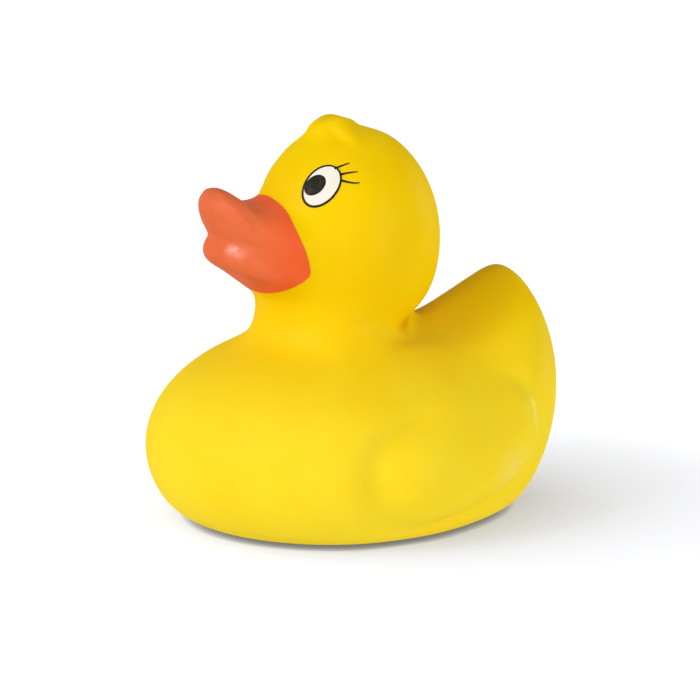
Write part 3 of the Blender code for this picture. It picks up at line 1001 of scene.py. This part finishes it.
def printed(name, rows, closed, lift):
    """A film of ink from rows of flat points, which are joined into quads, and its twin on the right."""
    count = len(rows[0])
    places = pressed_on(np.concatenate(rows))
    mesh = bmesh.new()
    corners = [mesh.verts.new(place) for place in places]
    for row in range(len(rows) - 1):
        for step in range(count if closed else count - 1):
            here, there = step, (step + 1) % count
            ring = [corners[row * count + here], corners[row * count + there]]
            ring += [corners[(row + 1) * count + there], corners[(row + 1) * count + here]]
            mesh.faces.new(ring)
    bmesh.ops.remove_doubles(mesh, verts=mesh.verts, dist=0.001 * MM)
    bmesh.ops.recalc_face_normals(mesh, faces=mesh.faces)
    faces = list(mesh.faces)
    if faces[0].normal.dot(Vector(eye_normal)) < 0:
        bmesh.ops.reverse_faces(mesh, faces=faces)
    twin = mesh.copy()
    for corner in twin.verts:
        corner.co.x = -corner.co.x
    bmesh.ops.reverse_faces(twin, faces=twin.faces)
    return [film(name + "_left", mesh, lift, INK_DEPTH), film(name + "_right", twin, lift, INK_DEPTH)]

# %% [markdown]
# The white is an ellipse that leans back, and the outline is a band round it, a little thicker below.
# Both are rings of points on the pad.

# %% The eye's ellipse
EYE_STEPS = 96
TURN = np.linspace(0.0, 2 * math.pi, EYE_STEPS + 1)[:-1]
EYE_TILT = math.radians(59.7)
EYE_HALF_LENGTH = 4.30
EYE_HALF_WIDTH = 3.15
EYE_OFFSET = np.array((0.04, 0.27))
LINE_WIDTH = 0.40
LINE_THICKER_BELOW = np.array((0.03, 0.05))
long_way = np.array((math.cos(EYE_TILT), math.sin(EYE_TILT)))
short_way = np.array((math.sin(EYE_TILT), -math.cos(EYE_TILT)))


def eye_ellipse(grow, share=1.0):
    """Points round the eye's outline, moved outwards by grow, or a share of the way to its middle."""
    along = (EYE_HALF_LENGTH + grow) * share * np.cos(TURN)
    across = (EYE_HALF_WIDTH + grow) * share * np.sin(TURN)
    return EYE_OFFSET + along[:, None] * long_way + across[:, None] * short_way


def to_ellipse(start, direction, grow):
    """How far the eye's outline lies from a point inside it, in a direction."""
    radii = np.array((EYE_HALF_LENGTH + grow, EYE_HALF_WIDTH + grow))
    axes = np.stack([long_way, short_way], axis=1)
    offset = (start - EYE_OFFSET) @ axes / radii
    heading = direction @ axes / radii
    a, b, c = heading @ heading, offset @ heading, offset @ offset - 1
    return (math.sqrt(b * b - a * c) - b) / a


print("the eye is", 2 * EYE_HALF_LENGTH, "by", 2 * EYE_HALF_WIDTH, "mm")

# %% [markdown]
# The pupil is an ellipse too, cut off where it meets the outline at the front. The lashes are strokes
# that narrow from the root to the tip, each along a smooth curve through a few points.

# %% The pupil and the lashes
PUPIL_MIDDLE = np.array((-1.16, 0.33))
PUPIL_TILT = math.radians(46.0)
PUPIL_HALF_LENGTH = 2.28
PUPIL_HALF_WIDTH = 1.76
LASH_WIDTHS = (0.46, 0.2)
LASH_STEPS = 17
LASHES = {
    "upper": ((1.95, 3.80), (3.2, 4.55), (4.40, 5.32)),
    "middle": ((3.20, 2.70), (4.7, 3.30), (6.15, 3.78)),
    "lower": ((3.40, 1.64), (5.0, 1.42), (6.0, 1.46), (6.85, 1.72)),
}


def pupil_ring(share):
    """The pupil's ellipse, or a share of the way to its middle, cut off where it meets the outline."""
    ring = []
    for turn in TURN:
        along = PUPIL_HALF_LENGTH * math.cos(turn)
        across = PUPIL_HALF_WIDTH * math.sin(turn)
        spoke = np.array(
            (
                along * math.cos(PUPIL_TILT) + across * math.sin(PUPIL_TILT),
                along * math.sin(PUPIL_TILT) - across * math.cos(PUPIL_TILT),
            )
        )
        cut = min(1.0, to_ellipse(PUPIL_MIDDLE, spoke, -LINE_WIDTH / 2))
        ring.append(PUPIL_MIDDLE + share * cut * spoke)
    return np.array(ring)


def lash_rows(route):
    """Two edges of a tapering stroke along a smooth curve through its points."""
    route = np.array(route)
    steps = np.linspace(0.0, 1.0, LASH_STEPS)
    knots = np.linspace(0.0, 1.0, len(route))
    curve = [np.polyval(np.polyfit(knots, column, 2), steps) for column in route.T]
    line = np.stack(curve, axis=1)
    heading = np.gradient(line, axis=0)
    heading /= np.linalg.norm(heading, axis=1, keepdims=True)
    sideways = np.stack([-heading[:, 1], heading[:, 0]], axis=1)
    half = between(LASH_WIDTHS, steps)[:, None] / 2
    return [line - half * sideways, line, line + half * sideways]


print("the pupil is", 2 * PUPIL_HALF_LENGTH, "by", 2 * PUPIL_HALF_WIDTH, "mm, with", len(LASHES), "lashes")

# %% [markdown]
# Now the rows are pressed on to the head. The white lies lowest, and the black lies on it and on the
# vinyl.

# %% Print the eye
DISC_ROWS = 13
LINE_ROWS = 4

shares = np.linspace(0.0, 1.0, DISC_ROWS)
whites = printed("eye_white", [eye_ellipse(0.0, share) for share in shares], True, INK_LIFT)
pupils = printed("pupil", [pupil_ring(share) for share in shares], True, 2 * INK_LIFT)
inner, outer = eye_ellipse(-LINE_WIDTH / 2) + LINE_THICKER_BELOW, eye_ellipse(LINE_WIDTH / 2)
line_rows = [inner + (outer - inner) * share for share in np.linspace(0.0, 1.0, LINE_ROWS)]
outlines = printed("eye_line", line_rows, True, 2 * INK_LIFT)
lashes = []
for name, route in LASHES.items():
    lashes += printed("lash_" + name, lash_rows(route), False, 2 * INK_LIFT)
print("the eyes have", len(whites + pupils + outlines + lashes), "films of ink")

# %% [markdown]
# Ink from a pad is never quite even. The white has faint clouds, and the black has thin streaks where
# the pad was wiped, which let a little grey through.

# %% Ink materials
INK_MOTTLE_MM = 0.8
STREAK_TURN = math.radians(45.0)


def ink(name, fully_inked, thinly_inked, stretch, roughness):
    """A film of ink with thin places, drawn out along the way that the pad was wiped by the stretch."""
    material = new_material(name)
    tree = material.node_tree
    place = add_node(tree, "ShaderNodeTexCoord").outputs["Object"]
    turned = add_node(
        tree,
        "ShaderNodeMapping",
        {"Vector": place, "Rotation": (STREAK_TURN, 0.0, 0.0), "Scale": (1.0, 1.0 / stretch, 1.0)},
    )
    mottle = noise(tree, turned.outputs["Vector"], INK_MOTTLE_MM, 2.0)
    shader = add_node(
        tree,
        "ShaderNodeBsdfPrincipled",
        {
            "Base Color": two_tone(tree, mottle, fully_inked, thinly_inked),
            "Roughness": roughness,
            "Specular IOR Level": 0.0,
            "Coat Weight": 0.1,
            "Coat Roughness": 0.3,
        },
    )
    add_node(tree, "ShaderNodeOutputMaterial", {"Surface": shader.outputs["BSDF"]})
    return material


white_ink = ink("pad_print_white_ink", "#F7F1E6", "#F4ECDB", 1.0, 0.4)
black_ink = ink("pad_print_black_ink", "#120E09", "#332F26", 3.0, 0.5)
for piece in whites:
    finished_with(piece, white_ink)
for piece in pupils + outlines + lashes:
    finished_with(piece, black_ink)
print("white ink is on", len(whites), "films and black ink on", len(pupils + outlines + lashes))

# %% [markdown]
# ## The whistle
# The disc in the base is injection moulded in natural polyethylene, which is milky white, with faint
# clouds where the melt met again round the hole in the middle. It stays as the solids have it.

# %% Whistle material
MELT_CLOUD_MM = 4.0
MELT_SHINE_MM = 1.0


def whistle_plastic():
    material = new_material("moulded_polyethylene_white")
    tree = material.node_tree
    place = add_node(tree, "ShaderNodeTexCoord").outputs["Object"]
    shader = add_node(
        tree,
        "ShaderNodeBsdfPrincipled",
        {
            "Base Color": two_tone(tree, noise(tree, place, MELT_CLOUD_MM, 2.0), "#EFEDE6", "#F3F2ED"),
            "Roughness": ranged(tree, noise(tree, place, MELT_SHINE_MM, 1.0), 0.4, 0.5),
            "IOR": 1.5,
        },
    )
    add_node(tree, "ShaderNodeOutputMaterial", {"Surface": shader.outputs["BSDF"]})
    return material


finished_with(frame["nodes"]["whistle"], whistle_plastic())
print("the whistle is", round((whistle_high.x - whistle_low.x) / MM, 1), "mm wide")

# %% [markdown]
# ## The studio
# The duck stands on a sweep of pale paper in a white room. The paper is shown as white by a glow that
# only the camera and the shiny and clear surfaces see; the duck sees a weaker glow from it, as painted
# bounce light. The glow stands for the light that a large window on the left would throw on the paper,
# and it fades where the duck stands in the way, which paints the duck's shadow on it. In the narrow gap
# under the edge of the base hardly any light gets in, and there the paper's own colour is darkened too,
# as painted shade.
# Its fibres are drawn coarser than they are, or they would not show.

# %% Floor
FLOOR_SIZE = 6.0
FLOOR_GLOW = 0.92
FLOOR_GLOW_IN_SHADE = 0.3
FLOOR_BOUNCE = 0.56
SHADE_REACH = 50.0 * MM
GAP_REACH = 1.5 * MM
GAP_SPAN = (0.1, 0.9)
LIGHT_IN_GAP = 0.3
SHADE_SAMPLES = 8
WINDOW_LEFT = 0.8
WINDOW_IN_FRONT = 0.35
WINDOW_UP = 0.6
PAPER_FIBRE_MM = 1.2

floor_mesh = bmesh.new()
bmesh.ops.create_grid(floor_mesh, x_segments=1, y_segments=1, size=FLOOR_SIZE / 2)
floor = new_piece("floor", floor_mesh)


def seen_directly(tree, otherwise, value):
    """One value for rays from the camera and from shiny or clear surfaces, and another for the rest."""
    path = add_node(tree, "ShaderNodeLightPath")
    shiny = add_node(
        tree,
        "ShaderNodeMath",
        {0: path.outputs["Is Camera Ray"], 1: path.outputs["Is Glossy Ray"]},
        operation="MAXIMUM",
    )
    clear = add_node(
        tree,
        "ShaderNodeMath",
        {0: shiny.outputs["Value"], 1: path.outputs["Is Transmission Ray"]},
        operation="MAXIMUM",
    )
    return ranged(tree, clear.outputs["Value"], otherwise, value)


def paper():
    material = new_material("pale_paper_sweep")
    tree = material.node_tree
    place = add_node(tree, "ShaderNodeTexCoord").outputs["Object"]
    fibres = noise(tree, place, PAPER_FIBRE_MM, 2.0)
    grey = two_tone(tree, fibres, "#7B7F8B", "#7E828E")
    # Painted shade: the paper's colour is darkened in the gap under the base.
    gap = add_node(tree, "ShaderNodeAmbientOcclusion", {"Distance": GAP_REACH}, samples=SHADE_SAMPLES)
    lit = ranged(tree, gap.outputs["AO"], LIGHT_IN_GAP, 1.0, *GAP_SPAN)
    darkened = mixed(tree, lit, linear("#000000"), grey)
    diffuse = add_node(tree, "ShaderNodeBsdfDiffuse", {"Color": darkened}).outputs["BSDF"]
    in_front = Vector(backward.xy.to_3d())
    towards_window = Vector((0, 0, WINDOW_UP)) - rightward * WINDOW_LEFT + in_front * WINDOW_IN_FRONT
    way = add_node(tree, "ShaderNodeCombineXYZ", dict(zip("XYZ", towards_window.normalized())))
    # Painted shadow: the glow fades where the duck stands between the paper and the upper left.
    open_sky = add_node(
        tree,
        "ShaderNodeAmbientOcclusion",
        {"Distance": SHADE_REACH, "Normal": way.outputs["Vector"]},
        samples=SHADE_SAMPLES,
    )
    glow = ranged(tree, open_sky.outputs["AO"], FLOOR_GLOW_IN_SHADE, FLOOR_GLOW)
    shaded = add_node(tree, "ShaderNodeMath", {0: glow, 1: lit}, operation="MULTIPLY")
    strength = seen_directly(tree, FLOOR_BOUNCE, shaded.outputs["Value"])
    light = add_node(tree, "ShaderNodeEmission", {"Strength": strength}).outputs["Emission"]
    both = add_node(tree, "ShaderNodeAddShader", {0: diffuse, 1: light})
    add_node(tree, "ShaderNodeOutputMaterial", {"Surface": both.outputs["Shader"]})
    return material


finished_with(floor, paper())
print("the floor glows at", FLOOR_GLOW, "for the camera and at", FLOOR_BOUNCE, "for the duck")

# %% [markdown]
# The room is white wherever it is seen, and it lights the duck only faintly, because the lamps do that.

# %% World
WORLD_LIGHT = 0.04

world = bpy.data.worlds.new("white_room")
bpy.context.scene.world = world
world.use_nodes = True
room = world.node_tree
room.nodes.clear()
sky = add_node(
    room,
    "ShaderNodeBackground",
    {"Color": linear("#FFFFFF"), "Strength": seen_directly(room, WORLD_LIGHT, 1.0)},
)
add_node(room, "ShaderNodeOutputWorld", {"Surface": sky.outputs["Background"]})
print("the room lights the duck at", WORLD_LIGHT)

# %% [markdown]
# The lamps are far off and wide, so they give soft light with no hard shadows. Four stand on the left:
# a high one, one at half height, one at the side, and a small bright window that puts the glint on the
# lower lip. Low lamps in front and at the right light the breast and the wing, one from behind on the
# right draws the edge of the tail, and a broad one above keeps the crown and the paper lit. All but
# the window began as a least-squares fit: the duck was rendered under many lamps, one at a time, and
# the mix nearest to the photo's colours showed which to keep and how strong. The strengths were then
# rounded and changed, as render and photo were compared place by place.

# %% Lamps
def soft_light(name, direction, strength, angle):
    """A distant soft lamp, from a direction given in the camera's own axes."""
    right, up, back_towards = direction
    way = (rightward * right + upward * up + backward * back_towards).normalized()
    data = bpy.data.lights.new(name, "SUN")
    data.energy = strength
    data.angle = math.radians(angle)
    lamp = bpy.data.objects.new(name, data)
    lamp.location = looked_at + way
    lamp.rotation_mode = "QUATERNION"
    lamp.rotation_quaternion = way.to_track_quat("Z", "Y")
    bpy.context.scene.collection.objects.link(lamp)
    return lamp


soft_light("left_high", (-0.8, 0.6, 0.7), 0.55, 35.0)
soft_light("left_window", (-0.66, 0.5, 0.58), 0.25, 7.0)
soft_light("left_middle", (-0.9, 0.25, 0.55), 0.9, 35.0)
soft_light("left_side", (-1.0, 0.3, -0.1), 0.3, 35.0)
soft_light("camera_low", (0.0, -0.12, 1.0), 1.1, 60.0)
soft_light("right_low", (0.8, -0.08, 0.6), 1.6, 35.0)
soft_light("rim_light", (1.0, 0.25, -0.6), 0.8, 25.0)
soft_light("overhead", (0.0, 1.0, 0.1), 0.65, 90.0)
bpy.context.scene.view_settings.view_transform = "Standard"
